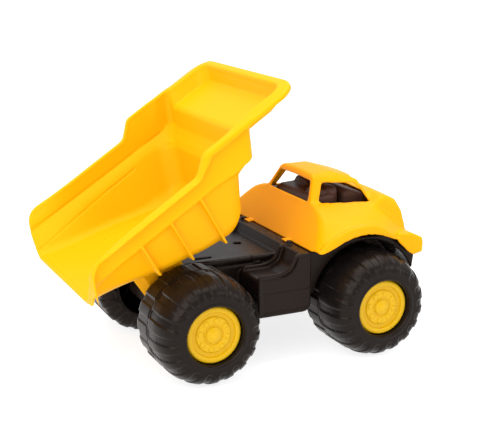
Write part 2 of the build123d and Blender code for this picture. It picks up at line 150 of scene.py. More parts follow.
def turned_form(points, x, y, z, span, step=0.25):
    """Field of an (r, y) outline turned about the Y axis; span is the largest radius sampled."""
    radii = np.arange(0, span + 2 * step, step, dtype=np.float32)
    table = outline_distance(points, radii[:, None], y.ravel()[None, :])
    r = np.minimum(np.hypot(x, z)[:, 0, :], span) / step
    low = r.astype(int)
    part = (r - low)[..., None]
    mixed = table[low] * (1 - part) + table[low + 1] * part
    return mixed.transpose(0, 2, 1)


# ---------------------------------------------------------------- meshes


def surface_net(field, low, step):
    """Points and quads of the surface where a sampled field is zero: one point to a crossed cell."""
    inside = field < 0
    count = sum(inside[i:i + inside.shape[0] - 1, j:j + inside.shape[1] - 1, k:k + inside.shape[2] - 1]
                .astype(np.int8) for i in (0, 1) for j in (0, 1) for k in (0, 1))
    cells = np.argwhere((count > 0) & (count < 8))
    total = np.zeros((len(cells), 3))
    crossings = np.zeros(len(cells))
    for axis in range(3):
        for first in (0, 1):
            for second in (0, 1):
                a = np.zeros(3, int)
                a[(axis + 1) % 3] = first
                a[(axis + 2) % 3] = second
                b = a.copy()
                b[axis] = 1
                fa = field[tuple((cells + a).T)].astype(float)
                fb = field[tuple((cells + b).T)].astype(float)
                crossed = (fa < 0) != (fb < 0)
                t = np.where(crossed, fa / np.where(crossed, fa - fb, 1), 0)
                point = np.tile(a.astype(float), (len(cells), 1))
                point[:, axis] = t
                total += point * crossed[:, None]
                crossings += crossed
    points = (cells + total / crossings[:, None]) * step + np.array(low) - 2 * step
    number = np.full(np.array(field.shape) - 1, -1)
    number[tuple(cells.T)] = np.arange(len(cells))
    quads = []
    for axis in range(3):
        u, v = (axis + 1) % 3, (axis + 2) % 3
        here = [slice(1, -1)] * 3
        here[axis] = slice(0, -1)
        ahead = list(here)
        ahead[axis] = slice(1, None)
        start, end = inside[tuple(here)], inside[tuple(ahead)]
        for mask, order in ((start & ~end, 1), (end & ~start, -1)):
            edge = np.argwhere(mask)
            edge[:, u] += 1
            edge[:, v] += 1
            ring = []
            for du, dv in ((1, 1), (0, 1), (0, 0), (1, 0)):
                cell = edge.copy()
                cell[:, u] -= du
                cell[:, v] -= dv
                ring.append(number[tuple(cell.T)])
            quads.append(np.stack(ring[::order], axis=1))
    return points, np.concatenate(quads)


def mesh_from(name, points, quads):
    mesh = bpy.data.meshes.new(name)
    mesh.vertices.add(len(points))
    mesh.vertices.foreach_set("co", np.ascontiguousarray(points, np.float32).ravel())
    mesh.loops.add(quads.size)
    mesh.loops.foreach_set("vertex_index", np.ascontiguousarray(quads, np.int32).ravel())
    mesh.polygons.add(len(quads))
    mesh.polygons.foreach_set("loop_start", np.arange(0, quads.size, 4, dtype=np.int32))
    mesh.update(calc_edges=True)
    mesh.polygons.foreach_set("use_smooth", np.ones(len(quads), bool))
    mesh.update()
    return mesh


def moulding(name, make_field, low, high, step, place=lambda points: points, faces=190000):
    """Object whose surface is the zero of make_field(x, y, z), thinned to a number of triangles."""
    field = make_field(*sample_axes(low, high, step))
    points, quads = surface_net(np.ascontiguousarray(field, np.float32), low, step)
    obj = bpy.data.objects.new(name, mesh_from(name, place(points) * MM, quads))
    bpy.context.scene.collection.objects.link(obj)
    if 2 * len(quads) > faces:
        thin = obj.modifiers.new("thin", "DECIMATE")
        thin.ratio = faces / (2 * len(quads))
        thinned = bpy.data.meshes.new_from_object(obj.evaluated_get(bpy.context.evaluated_depsgraph_get()))
        obj.modifiers.clear()
        obj.data = thinned
        obj.data.polygons.foreach_set("use_smooth", np.ones(len(thinned.polygons), bool))
    print("moulding", name, len(points), len(obj.data.polygons))
    return obj


# ---------------------------------------------------------------- dump bed

BED_WALL = 2.6
LEAST_WALL = 1.7
RIM_HALF_WIDTH = 101.6
RIM_LOW = 93.0
RIM_HIGH = 107.3
BED_FRONT = 172.5
FLOOR_FRONT = (69.6, 10.6)
TAIL_LOW = (-83.4, 57.2)
TAIL_HIGH = (-65.5, RIM_LOW)
LEDGE_Z = 75.0
CANOPY_Z = 90.4
REST_Q = 15.6
RIB_PLACES = (-19.0, 13.0, 46.0)
CHEEK_MIDDLE_Y = 46.85
CHEEK_HALF_THICKNESS = 1.35


def tub_side(p, q):
    """Half width of the lower tub, whose sides flare out towards the tail."""
    tail = smoothstep((-5.0 - p) / 65.0)
    return (76.0 + 0.235 * (q - 16.0)) * (1 - tail) + (79.0 + 0.66 * (q - 57.0)) * tail


def floor_field(p, q):
    """Sloping floor, flat at the front where it rests on the deck."""
    return round_max(line(p, q, FLOOR_FRONT, TAIL_LOW), REST_Q - q, 6.0)


def tub_field(p, y, q):
    """Lower tub: leaning sides, leaning front wall and sloping floor."""
    sides = 0.96 * (y - tub_side(p, q))
    front = line(p, q, (94.5, 65.0), FLOOR_FRONT)
    floor = floor_field(p, q)
    return round_max(round_max(sides, front, 19.0), floor, 9.0 + 7.0 * smoothstep((p - 20.0) / 40.0))


def band_field(p, y, q, slope):
    """Upper band, standing proud of the tub over a ledge of the given slope."""
    sides = line(y, q, (94.9, RIM_LOW), (94.6, LEDGE_Z))
    front = line(p, q, (116.0, CANOPY_Z), (108.3, LEDGE_Z))
    inset = np.clip(-round_max(y - 95.0, p - 107.6, 20.0), 0, 14.0)
    bottom = LEDGE_Z - 2.4 * smoothstep((p - 60.0) / 30.0) - slope * inset
    return round_max(round_max(sides, front, 8.0), (bottom - q) / math.hypot(1.0, slope), 1.2)


def canopy_field(p, y, q):
    """Shallow tray over the cab, with sides that flare to the rim."""
    widening = 3.0 * smoothstep((128.0 - p) / 28.0)
    sides = line(y - widening, q, (91.0, RIM_HIGH), (81.5, CANOPY_Z))
    front = line(p, q, (167.4, 105.7), (159.4, CANOPY_Z))
    walls = round_max(round_max(sides, front, 15.0), CANOPY_Z - q, 3.0)
    return np.maximum(walls, 100.0 - p)


def bed_field(p, y, q):
    y = np.abs(y)
    tub = tub_field(p, y, q)
    floor = floor_field(p, q)
    canopy = canopy_field(p, y, q)
    outside = round_min(round_min(tub, band_field(p, y, q, 0.6), 1.2), canopy, 1.5)
    inside = round_min(round_min(tub, band_field(p, y, q - 1.6, 0.95), 0.3), canopy, 1.2) + BED_WALL
    inside = np.maximum(inside, outside + LEAST_WALL)
    below_rim = corner_form([(-135.7, -40.0, 0), TAIL_LOW + (0,), TAIL_HIGH + (20.0,), (54.2, RIM_LOW, 10.0),
                             (69.8, RIM_HIGH, 10.0), (220.0, RIM_HIGH, 0), (220.0, -40.0, 0)], p, q)
    wall = round_max(np.maximum(outside, -inside), below_rim, 0.9)
    plan = round_max(y - RIM_HALF_WIDTH, p - BED_FRONT, 20.5)
    high = smoothstep((p - 58.0) / 12.0)
    crown = below_rim + 0.18 * np.clip(outside + 1.0, 0, 14.0)
    shelf = overlap(0.9, np.maximum(plan, outside - 8.0 - 8.0 * high), crown, -below_rim - 2.8)
    skirt = overlap(0.9, plan, -plan - 2.6, crown, -below_rim - 3.2 - 3.1 * high)
    lip = np.maximum(np.maximum(np.minimum(shelf, skirt), -inside), floor)
    bed = round_min(wall, lip, 1.0)
    for rib_p in RIB_PLACES:
        low = TAIL_LOW[1] - 0.306 * (rib_p + 82.0)
        face = line(y, q, (96.2, 76.0), (79.2 + 0.235 * (low - 16.0), low))
        rib = overlap(0.7, np.abs(p - rib_p) - 1.1, np.maximum(face, floor), q - 76.0)
        bed = round_min(bed, np.maximum(rib, -inside), 0.8)
    cheek = corner_form([(-28.0, 52.0, 0), (8.5, 41.0, 0), (8.5, 0.0, 5), (5.0, -6.5, 5), (-3.0, -8.5, 5),
                         (-28.0, 2.0, 3)], p, q)
    cheek = overlap(0.6, cheek, np.abs(y - CHEEK_MIDDLE_Y) - CHEEK_HALF_THICKNESS)
    flange = corner_form([(-27.5, 48.2, 1), (-36.5, 40.5, 0.8), (-34.0, 38.5, 0.8), (-25.5, 45.5, 0.5)], p, y)
    flange = overlap(0.6, flange, 3.0 - q, q - 56.0)
    bracket = np.maximum(round_min(cheek, flange, 1.0), -inside)
    bed = round_min(bed, bracket, 1.2)
    for line_q, reach, depth in ((77.6 - 0.02 * p, 90.0, 0.8), (64.5 + 0.02 * p, 46.0, 0.7)):
        crease = np.maximum(np.hypot(inside, q - line_q) - depth, p - reach)
        bed = round_max(bed, -crease, 0.2)
    return np.maximum(bed, 2.56 - np.hypot(p, q))


def raise_bed(points):
    """Bed points from its level pose about the hinge pin to its raised rest pose."""
    p, y, q = points.T
    c, s = math.cos(RAISED_ANGLE), math.sin(RAISED_ANGLE)
    return np.stack([PIVOT_X + p * c - q * s, y, PIVOT_Z + p * s + q * c], axis=1)


def make_bed():
    half = RIM_HALF_WIDTH + 1
    return moulding("bed_shell", bed_field, (-90, -half, -10), (BED_FRONT + 1, half, RIM_HIGH + 1), 1.0, raise_bed)


# ---------------------------------------------------------------- cab

CAB_WALL = 2.5
CAB_FLOOR = 104.2
ARCH_X, ARCH_Z, ARCH_RADIUS = 98.8, 46.7, 69.6
FLARE_WIDTH = 8.8
FLARE_STEP = 2.2
REAR_WALL = ((47.4, 105.0), (67.7, 138.7))


def flare_face(x):
    """Half width of the fender's outer face, which tapers towards the bumper."""
    return 99.0 - 9.5 * smoothstep((x - 50.0) / 115.0)


def cab_body_field(x, y, z):
    """Body from the beltline down to the wheel arch, whose side folds along a crease above the arch."""
    shoulder_y = np.interp(x, (45, 70, 100, 133, 170), (69.5, 70.5, 71.5, 67.5, 66.0))
    shoulder_z = np.interp(x, (45, 68, 100, 120, 128, 134, 140, 146, 151, 156, 160.5, 170),
                           (137.4, 137.0, 134.8, 134.2, 133.6, 131.9, 128.4, 124.0, 120.0, 116.0, 112.5, 104.0))
    radius = ARCH_RADIUS + FLARE_WIDTH - 5.0 * smoothstep((x - 105.0) / 40.0)
    crease_y = flare_face(x)
    crease_z = ARCH_Z + np.sqrt(np.maximum(radius ** 2 - (x - ARCH_X) ** 2, 1.0))
    rise, run = shoulder_z - crease_z, crease_y - shoulder_y
    slope = ((y - crease_y) * rise + (z - crease_z) * run) / np.hypot(rise, run)
    top = z - shoulder_z - 2.1 * np.clip((shoulder_y - y) / 17.0, 0, 1)
    face = overlap(1.6, round_max(slope + FLARE_STEP, top, 6.0), y - crease_y, x - 163.0)
    flare = overlap(0.8, np.hypot(x - ARCH_X, z - ARCH_Z) - radius, y - crease_y, x - 163.0, 60.0 - y)
    return np.maximum(round_min(face, flare, 0.6), 20.0 - z)


def hood_field(x, y, z):
    top = corner_form([(118.0, 60.0, 0), (118.0, 132.0, 0), (131.0, 138.0, 8), (141.0, 145.2, 9), (157.0, 138.6, 7),
                       (163.2, 126.5, 5), (165.2, 113.0, 2), (165.2, 60.0, 0)], x, z)
    crown = 0.0006 * y * y
    sides = line(y, z, (58.5, 142.0), (67.0, 113.0))
    return round_max(top + crown, sides, 4.0)


def bumper_field(x, y, z):
    face = corner_form([(140.0, 92.0, 0), (140.0, 112.0, 0), (157.0, 110.0, 2), (167.6, 105.0, 1.5), (170.6, 100.0, 0.8),
                        (169.4, 90.5, 2), (155.0, 88.0, 1)], x, z)
    return round_max(face, round_max(y - 90.0, x - 170.6, 6.0), 2.0)


def greenhouse_field(x, y, z):
    profile = corner_form([(50.0, 120.0, 0), (50.0, 163.8, 0), (101.0, 165.2, 18), (128.6, 157.0, 6), (138.5, 140.5, 3),
                           (138.5, 120.0, 0)], x, z)
    narrow = 3.0 * smoothstep((x - 100.0) / 30.0)
    sides = line(y + narrow, z, (32.0, 165.0), (47.5, 137.0))
    crown = 0.0012 * y * y
    return round_max(profile + crown, sides, 3.2 + 3.3 * smoothstep((x - 75.0) / 15.0))


def cab_outside(x, y, z):
    body = round_min(cab_body_field(x, y, z), hood_field(x, y, z), 3.0)
    body = round_min(body, bumper_field(x, y, z), 1.5)
    body = round_min(body, greenhouse_field(x, y, z), 4.0)
    rear = round_min(line(x, z, *REAR_WALL), line(x, z, REAR_WALL[1], (77.7, 164.8)), 1.5)
    return round_max(body, rear, 2.2 + 2.4 * smoothstep((y - 50.0) / 14.0))


def window_field(x, y, z):
    """Open side, rear and front windows."""
    side = corner_form([(104.0, 136.8, 0), (76.8, 138.8, 2.0), (85.2, 155.8, 3.5), (121.0, 152.6, 6.0),
                        (128.8, 144.6, 8.0), (132.6, 135.2, 2.0)], x, z)
    side = np.maximum(np.maximum(side, 26.0 - y), line(y, z, (37.5, 160.0), (50.5, 136.0)))
    rear = corner_form([(-30, 139.6, 0), (39.6, 139.6, 1.5), (31.6, 157.8, 3.5), (-30, 158.6, 0)], y, z)
    rear = np.maximum(np.maximum(rear, x - 90.0), 56.0 - x)
    front = corner_form([(-30, 143.0, 0), (38.0, 143.0, 3.0), (29.5, 157.0, 4.0), (-30, 158.2, 0)], y, z)
    front = np.maximum(front, 116.0 - x)
    return np.minimum(np.minimum(side, rear), front)


def cab_field(x, y, z):
    y = np.abs(y)
    outside = cab_outside(x, y, z)
    wall = np.maximum(outside, -outside - CAB_WALL)
    wall = round_max(wall, -window_field(x, y, z), 0.9)
    arch = ARCH_RADIUS - np.hypot(x - ARCH_X, z - ARCH_Z)
    low = np.maximum(np.minimum(CAB_FLOOR - z, 137.0 - x), 88.5 - z)
    corner = 0.8 + 5.0 * smoothstep((y - 82.0) / 8.0)
    rear_edge = np.minimum(line(x, z, *REAR_WALL) - 1.0, 130.0 - z) + 0.0 * y
    wall = round_max(wall, round_max(round_max(low, arch, corner), rear_edge, corner), 0.8)
    tab = overlap(0.6, np.abs(x - 45.4) - 4.0, np.abs(y - 41.5) - 4.5, np.abs(z - CAB_FLOOR - 1.0) - 1.0)
    return round_min(wall, tab, 0.8)


def make_cab():
    low, high = (40.0, -100.0, 84.0), (170.0, 100.0, 169.0)
    return moulding("cab_shell", cab_field, low, high, 1.0)


# ---------------------------------------------------------------- chassis

WALL = 3.0
SPINE_HALF_WIDTH = 45.0
SPINE_REAR_X = REAR_AXLE_X - 21.0
DECK_Z = 95.4
CAB_SEAT_Z = 104.0
BOX_REAR_X, BOX_FRONT_X = -7.0, 47.0
BOX_HALF_WIDTH = 88.0
LINER_RADIUS = 57.0
SCREW_PLACES = ((90.0, 60.0), (128.0, 60.0))


def block(x, y, z, x_span, y_span, z_span, r):
    """Box with its edges rounded to radius r."""
    sides = [np.maximum(low - c, c - high) for c, (low, high) in ((x, x_span), (y, y_span), (z, z_span))]
    return overlap(r, *sides)


def spine_field(x, y, z):
    """Central box, stepped up under the cab, with rounded rear corners."""
    outline = [(SPINE_REAR_X, 46.0, 1), (SPINE_REAR_X, DECK_Z, 5), (39.0, DECK_Z, 3), (42.0, CAB_SEAT_Z, 1.2),
               (148.0, CAB_SEAT_Z, 2), (160.0, 92.0, 2), (160.0, 46.0, 1)]
    return round_max(corner_form(outline, x, z), y - SPINE_HALF_WIDTH, 1.2)


def rails_field(x, y, z):
    """Rolled rail along the deck's side edge, with a seam, a catch and a ledge below it."""
    rail = block(x, y, z, (-50.0, 39.0), (40.0, 46.9), (89.6, 95.3), 2.3)
    seam = block(x, y, z, (6.1, 7.1), (44.6, 60.0), (86.0, 99.0), 0.2)
    catch = block(x, y, z, (8.2, 15.6), (40.0, 46.8), (84.6, 89.8), 0.6)
    ledge = block(x, y, z, (-50.0, 36.0), (40.0, 46.2), (60.0, 87.2), 0.8)
    return np.minimum(np.minimum(np.maximum(rail, -seam), catch), ledge)


def box_profile(x, z, sweep):
    """Side view of a step box, whose top sweeps up under the cab."""
    outline = [(BOX_REAR_X, 48.0, 1.2)] + sweep + [(BOX_FRONT_X, CAB_SEAT_Z, 1.5), (BOX_FRONT_X, 48.0, 8)]
    return corner_form(outline, x, z)


TROUGH = [(BOX_REAR_X, 84.4, 4), (19.0, 84.6, 13), (29.8, 89.5, 10), (35.4, CAB_SEAT_Z, 1.5)]
LIP = [(BOX_REAR_X, 88.4, 3.5), (16.5, 88.6, 14), (25.5, 92.5, 9), (31.0, CAB_SEAT_Z, 1.0)]


def side_box_field(x, y, z):
    body = round_max(box_profile(x, z, TROUGH), y - BOX_HALF_WIDTH + 0.9, 1.5)
    crown = box_profile(x, z, LIP)
    outer = overlap(1.6, crown, np.abs(y - BOX_HALF_WIDTH + 1.9) - 1.9, -crown - 3.6)
    inner = overlap(1.3, crown, np.abs(y - 52.2) - 1.9, -crown - 9.0)
    body = round_min(round_min(body, outer, 0.8), inner, 1.8)
    groove = np.hypot(y - BOX_HALF_WIDTH + 0.6, z - 71.2) - 0.7
    return round_max(body, -groove, 0.4)


def housing_field(x, y, z, inset):
    """Housing over the front wheels that the cab drops onto."""
    rear, front = BOX_FRONT_X - inset, 164.0 - inset
    outline = [(rear, 62.0, 0), (rear, CAB_SEAT_Z - inset, 1), (57.0, CAB_SEAT_Z - inset, 2), (76.0, 111.0 - inset, 3),
               (134.0, 111.0 - inset, 3), (154.0, 100.0 - inset, 3), (front, 91.0 - inset, 3), (front - 3.0, 70.0, 1)]
    arch = LINER_RADIUS + inset - np.hypot(x - FRONT_AXLE_X, z - AXLE_Z)
    return overlap(1.0, corner_form(outline, x, z), y - 82.0 + inset, arch)


def chassis_field(x, y, z):
    y = np.abs(y)
    spine = spine_field(x, y, z)
    boxes = side_box_field(x, y, z)
    body = round_min(round_min(spine, boxes, 2.0), rails_field(x, y, z), 0.6)
    hollow = np.minimum(spine + WALL, np.maximum(box_profile(x, z, TROUGH), y - BOX_HALF_WIDTH) + WALL)
    hollow = np.where(z < 60.0, np.minimum(hollow, spine_field(x, y, z * 0 + 70.0) + WALL), hollow)
    low_box = np.maximum(np.maximum(BOX_REAR_X + WALL - x, x - BOX_FRONT_X + WALL), y - BOX_HALF_WIDTH + WALL)
    hollow = np.where(z < 56.0, np.minimum(hollow, np.maximum(low_box, x - 40.0 - (z - 48.0))), hollow)
    body = np.minimum(body, housing_field(x, y, z, 0.0))
    body = round_max(body, -np.minimum(hollow, housing_field(x, y, z, WALL)), 0.6)
    side = y - SPINE_HALF_WIDTH
    bosses = [np.maximum(np.hypot(x - centre_x, z - centre_z) - radius, side)
              for centre_x, centre_z, radius in ((REAR_AXLE_X, AXLE_Z, 6.5), (FRONT_AXLE_X, AXLE_Z, 6.5),
                                                 (PIVOT_X, PIVOT_Z, 6.0))]
    ribs = [np.maximum(np.maximum(np.abs(x - rib_x) - 1.2, side + 1.0), np.maximum(low - z, z - top))
            for rib_x, low, top in ((REAR_AXLE_X, AXLE_Z, DECK_Z - 1), (FRONT_AXLE_X, AXLE_Z, CAB_SEAT_Z - 1),
                                    (-24.0, 64.0, DECK_Z - 1), (22.0, 64.0, DECK_Z - 1), (66.0, 64.0, DECK_Z - 1))]
    for form in bosses + ribs:
        body = round_min(body, form, 0.8)
    knob = overlap(0.8, np.hypot(x - 43.2, y - 50.6) - 3.3, 92.0 - z, z - 107.0)
    body = round_min(body, knob, 0.5)
    for centre_x, centre_y in SCREW_PLACES:
        away = np.hypot(x - centre_x, y - centre_y)
        column = np.maximum(np.maximum(away - 4.4, np.abs(z - 105.0) - 5.95),
                            LINER_RADIUS - np.hypot(x - FRONT_AXLE_X, z - AXLE_Z))
        body = round_min(body, column, 0.6)
        body = np.maximum(body, 1.7 - away)
        body = np.maximum(body, -np.maximum(away - 3.2, z - 107.0))
    for centre_x, centre_z, radius in ((REAR_AXLE_X, AXLE_Z, 2.56), (FRONT_AXLE_X, AXLE_Z, 2.56), (PIVOT_X, PIVOT_Z, 2.56)):
        body = np.maximum(body, radius - np.hypot(x - centre_x, z - centre_z))
    hole = np.maximum(np.hypot(x - 12.5, y) - 4.0, 88.0 - z)
    slot = block(x, y, z, (-48.0, -30.5), (32.0, 36.0), (88.0, 120.0), 1.0)
    return round_max(round_max(body, -hole, 0.5), -slot, 0.5)


def make_chassis():
    return moulding("chassis_shell", chassis_field, (SPINE_REAR_X, -89.0, 45.0), (165.0, 89.0, 112.0), 1.0)


# ---------------------------------------------------------------- cab interior

INTERIOR_FLOOR = 111.3


def interior_field(x, y, z):
    """Insert behind the windows: rear shelf with a raised rest, two seat backs and a dashboard."""
    rest = block(x, y, z, (81.0, 92.5), (-33.5, -12.5), (120.0, 147.8), 3.0)
    y = np.abs(y)
    floor = block(x, y, z, (72.5, 138.0), (-50.0, 37.5), (INTERIOR_FLOOR, 114.0), 0.8)
    shelf = corner_form([(73.0, INTERIOR_FLOOR, 0), (73.0, 138.0, 4), (78.5, 142.4, 8), (99.0, 143.4, 3),
                         (99.0, INTERIOR_FLOOR, 0)], x, z)
    shelf = round_max(shelf, y - 38.6, 3.0)
    dash = corner_form([(112.0, INTERIOR_FLOOR, 0), (110.5, 141.5, 5), (117.0, 146.5, 6), (128.0, 142.5, 10),
                        (137.5, 139.5, 2), (137.5, INTERIOR_FLOOR, 0)], x, z)
    dash = round_max(dash, y - 34.0, 5.0)
    seat_plan = round_max(np.abs(y - 19.0) - 15.0, z - 150.0, 6.5)
    seats = overlap(3.5, seat_plan, np.abs(x - 98.5) - 6.5, INTERIOR_FLOOR - z)
    insert = np.minimum(np.minimum(floor, dash), round_min(shelf, seats, 3.0))
    insert = round_min(insert, rest, 1.5)
    hollow = np.minimum(np.maximum(shelf + 2.5, z - 139.0), dash + 2.5)
    return np.maximum(insert, -np.maximum(hollow, z - 140.0))


def make_interior():
    return moulding("interior_shell", interior_field, (72.0, -42.0, 110.5), (139.0, 42.0, 151.0), 0.9)


# ---------------------------------------------------------------- wheels

TYRE_BOX = node_box("front_left_tyre")
TYRE_INNER_Y, TYRE_OUTER_Y = TYRE_BOX[0][1], TYRE_BOX[1][1]
TYRE_RADIUS = (TYRE_BOX[1][2] - TYRE_BOX[0][2]) / 2
HUB_BOX = node_box("front_left_hub")
HUB_RADIUS = (HUB_BOX[1][2] - HUB_BOX[0][2]) / 2 + 1.1
HUB_FACE_Y = HUB_BOX[1][1] + 0.5
SHOULDER_RADIAL = 14.2
SHOULDER_AXIAL = 26.9
TREAD_MIDDLE_Y = TYRE_INNER_Y + 34.0
TYRE_WALL = 2.6
WEB_Y = 104.0
INNER_OPENING_RADIUS = 31.0
LUG_COUNT = 18
CHANNEL_HALF_WIDTH = 3.7
CHANNEL_DEPTH = 1.1
CHANNEL_END_RADIUS = 38.6


def shoulder(centre_r, centre_y, radial, axial, start, end, count=18):
    angles = np.radians(np.linspace(start, end, count))
    return [(centre_r + radial * math.cos(a), centre_y + axial * math.sin(a)) for a in angles]


def tyre_outline(inset):
    flat_r = TYRE_RADIUS - SHOULDER_RADIAL
    inner_axial = SHOULDER_AXIAL * 0.45
    points = [(0, TYRE_INNER_Y + inset)]
    points += shoulder(flat_r, TYRE_INNER_Y + inner_axial, SHOULDER_RADIAL - inset, inner_axial - inset, -90, 0)
    points += shoulder(flat_r, TYRE_OUTER_Y - SHOULDER_AXIAL, SHOULDER_RADIAL - inset, SHOULDER_AXIAL - inset, 0, 90)
    points.append((0, TYRE_OUTER_Y - inset))
    return points


def channels(x, y, z, r, offset, outer):
    """Tread channels that end in a round nose on the sidewall."""
    pitch = 2 * math.pi / LUG_COUNT
    angle = np.arctan2(z, x) + offset * pitch
    off = (angle + pitch / 2) % pitch - pitch / 2
    across = np.abs(r * np.sin(off))
    nose = np.hypot(across, np.maximum(CHANNEL_END_RADIUS - r, 0)) - CHANNEL_HALF_WIDTH
    past_middle = (TREAD_MIDDLE_Y + 1.6 - y) if outer else (y - TREAD_MIDDLE_Y + 1.6)
    return np.maximum(nose, past_middle)


def tyre_field(x, y, z):
    r = np.hypot(x, z)
    envelope = turned_form(tyre_outline(0), x, y, z, 56.0)
    hollow = turned_form(tyre_outline(TYRE_WALL), x, y, z, 56.0)
    seat = HUB_RADIUS + 0.6
    opening = np.maximum(r - INNER_OPENING_RADIUS, y - TYRE_INNER_Y - TYRE_WALL - 2)
    cup = np.maximum(r - seat - TYRE_WALL, WEB_Y - y)
    sleeve = np.maximum(r - 6.5, 46.0 - y)
    spokes = [np.maximum(np.abs(x * math.sin(a) - z * math.cos(a)) - 1.0, r - HUB_RADIUS - 2)
              for a in np.radians((0, 60, 120))]
    spokes = np.maximum(np.minimum.reduce([np.broadcast_to(s, envelope.shape) for s in spokes]), WEB_Y - 18.0 - y)
    inner = np.minimum(np.minimum(cup, sleeve), spokes)
    tyre = round_max(envelope, -np.minimum(hollow, opening), 0.8)
    tyre = np.maximum(round_min(tyre, inner, 1.0), envelope)
    for offset, outer in ((0.0, True), (0.5, False)):
        cut = np.maximum(channels(x, y, z, r, offset, outer), -envelope - CHANNEL_DEPTH)
        tyre = round_max(tyre, -cut, 0.55)
    groove = np.hypot(TYRE_RADIUS - r, y - TREAD_MIDDLE_Y) - 0.9
    tyre = round_max(tyre, -groove, 0.4)
    flare = 1.0 * np.clip((y - TYRE_OUTER_Y + 2.0) / 2.0, 0, 1)
    recess = np.maximum(r - seat - flare, WEB_Y + 3.0 - y)
    tyre = round_max(tyre, -recess, 0.7)
    lip = np.hypot(r - seat - 2.4, y - TYRE_OUTER_Y + 0.4) - 1.0
    tyre = round_min(tyre, lip, 0.6)
    return np.maximum(tyre, 2.56 - r)


def hub_outline():
    r, face = HUB_RADIUS, HUB_FACE_Y
    back = HUB_BOX[0][1]
    return rounded([(0, back + 2, 0), (r - 4, back + 2, 0), (r - 4, back, 0), (r, back, 0),
                    (r, face - 1.5, 2.0), (0.955 * r, face, 2.4), (0.80 * r, face - 0.3, 1.0),
                    (0.785 * r, face - 3.0, 0.8), (0.64 * r, face - 3.0, 0.8), (0.62 * r, face - 1.3, 0.8),
                    (0.37 * r, face - 1.3, 0.6), (0.355 * r, face - 2.3, 0.4), (0.295 * r, face - 2.3, 0.4),
                    (0.275 * r, face - 0.6, 1.0), (0.12 * r, face + 0.9, 6.0), (0, face + 0.9, 0)])


def hub_field(x, y, z):
    cap = turned_form(hub_outline(), x, y, z, HUB_RADIUS + 3, 0.1)
    for index in range(8):
        angle = 2 * math.pi * index / 8 + 0.2
        away = np.hypot(x - 0.5 * HUB_RADIUS * math.cos(angle), z - 0.5 * HUB_RADIUS * math.sin(angle))
        bolt = overlap(0.4, away - 0.09 * HUB_RADIUS, y - HUB_FACE_Y + 0.4, HUB_FACE_Y - 2.5 - y)
        cap = round_min(cap, bolt, 0.3)
    return cap


def make_wheels():
    tyre_low = (-TYRE_RADIUS - 0.5, 45.0, -TYRE_RADIUS - 0.5)
    tyre_high = (TYRE_RADIUS + 0.5, TYRE_OUTER_Y + 0.5, TYRE_RADIUS + 0.5)
    hub_low = (-HUB_RADIUS - 0.5, HUB_BOX[0][1] - 0.5, -HUB_RADIUS - 0.5)
    hub_high = (HUB_RADIUS + 0.5, HUB_FACE_Y + 1.5, HUB_RADIUS + 0.5)
    tyre = moulding("tyre", tyre_field, tyre_low, tyre_high, 0.85)
    hub = moulding("hub", hub_field, hub_low, hub_high, 0.38)
    made = []
    for end, axle_x in (("front", FRONT_AXLE_X), ("rear", REAR_AXLE_X)):
        for side, turn in (("left", 0.0), ("right", math.pi)):
            for source, part in ((tyre, "tyre"), (hub, "hub")):
                piece = bpy.data.objects.new(f"{end}_{side}_{part}_shell", source.data)
                bpy.context.scene.collection.objects.link(piece)
                piece.location = (axle_x * MM, 0, AXLE_Z * MM)
                piece.rotation_euler = (0, 0, turn)
                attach(piece, f"{end}_{side}_wheel")
                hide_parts(f"{end}_{side}_{part}")
                made.append((piece, part))
    bpy.data.objects.remove(tyre)
    bpy.data.objects.remove(hub)
    return made


# ---------------------------------------------------------------- materials


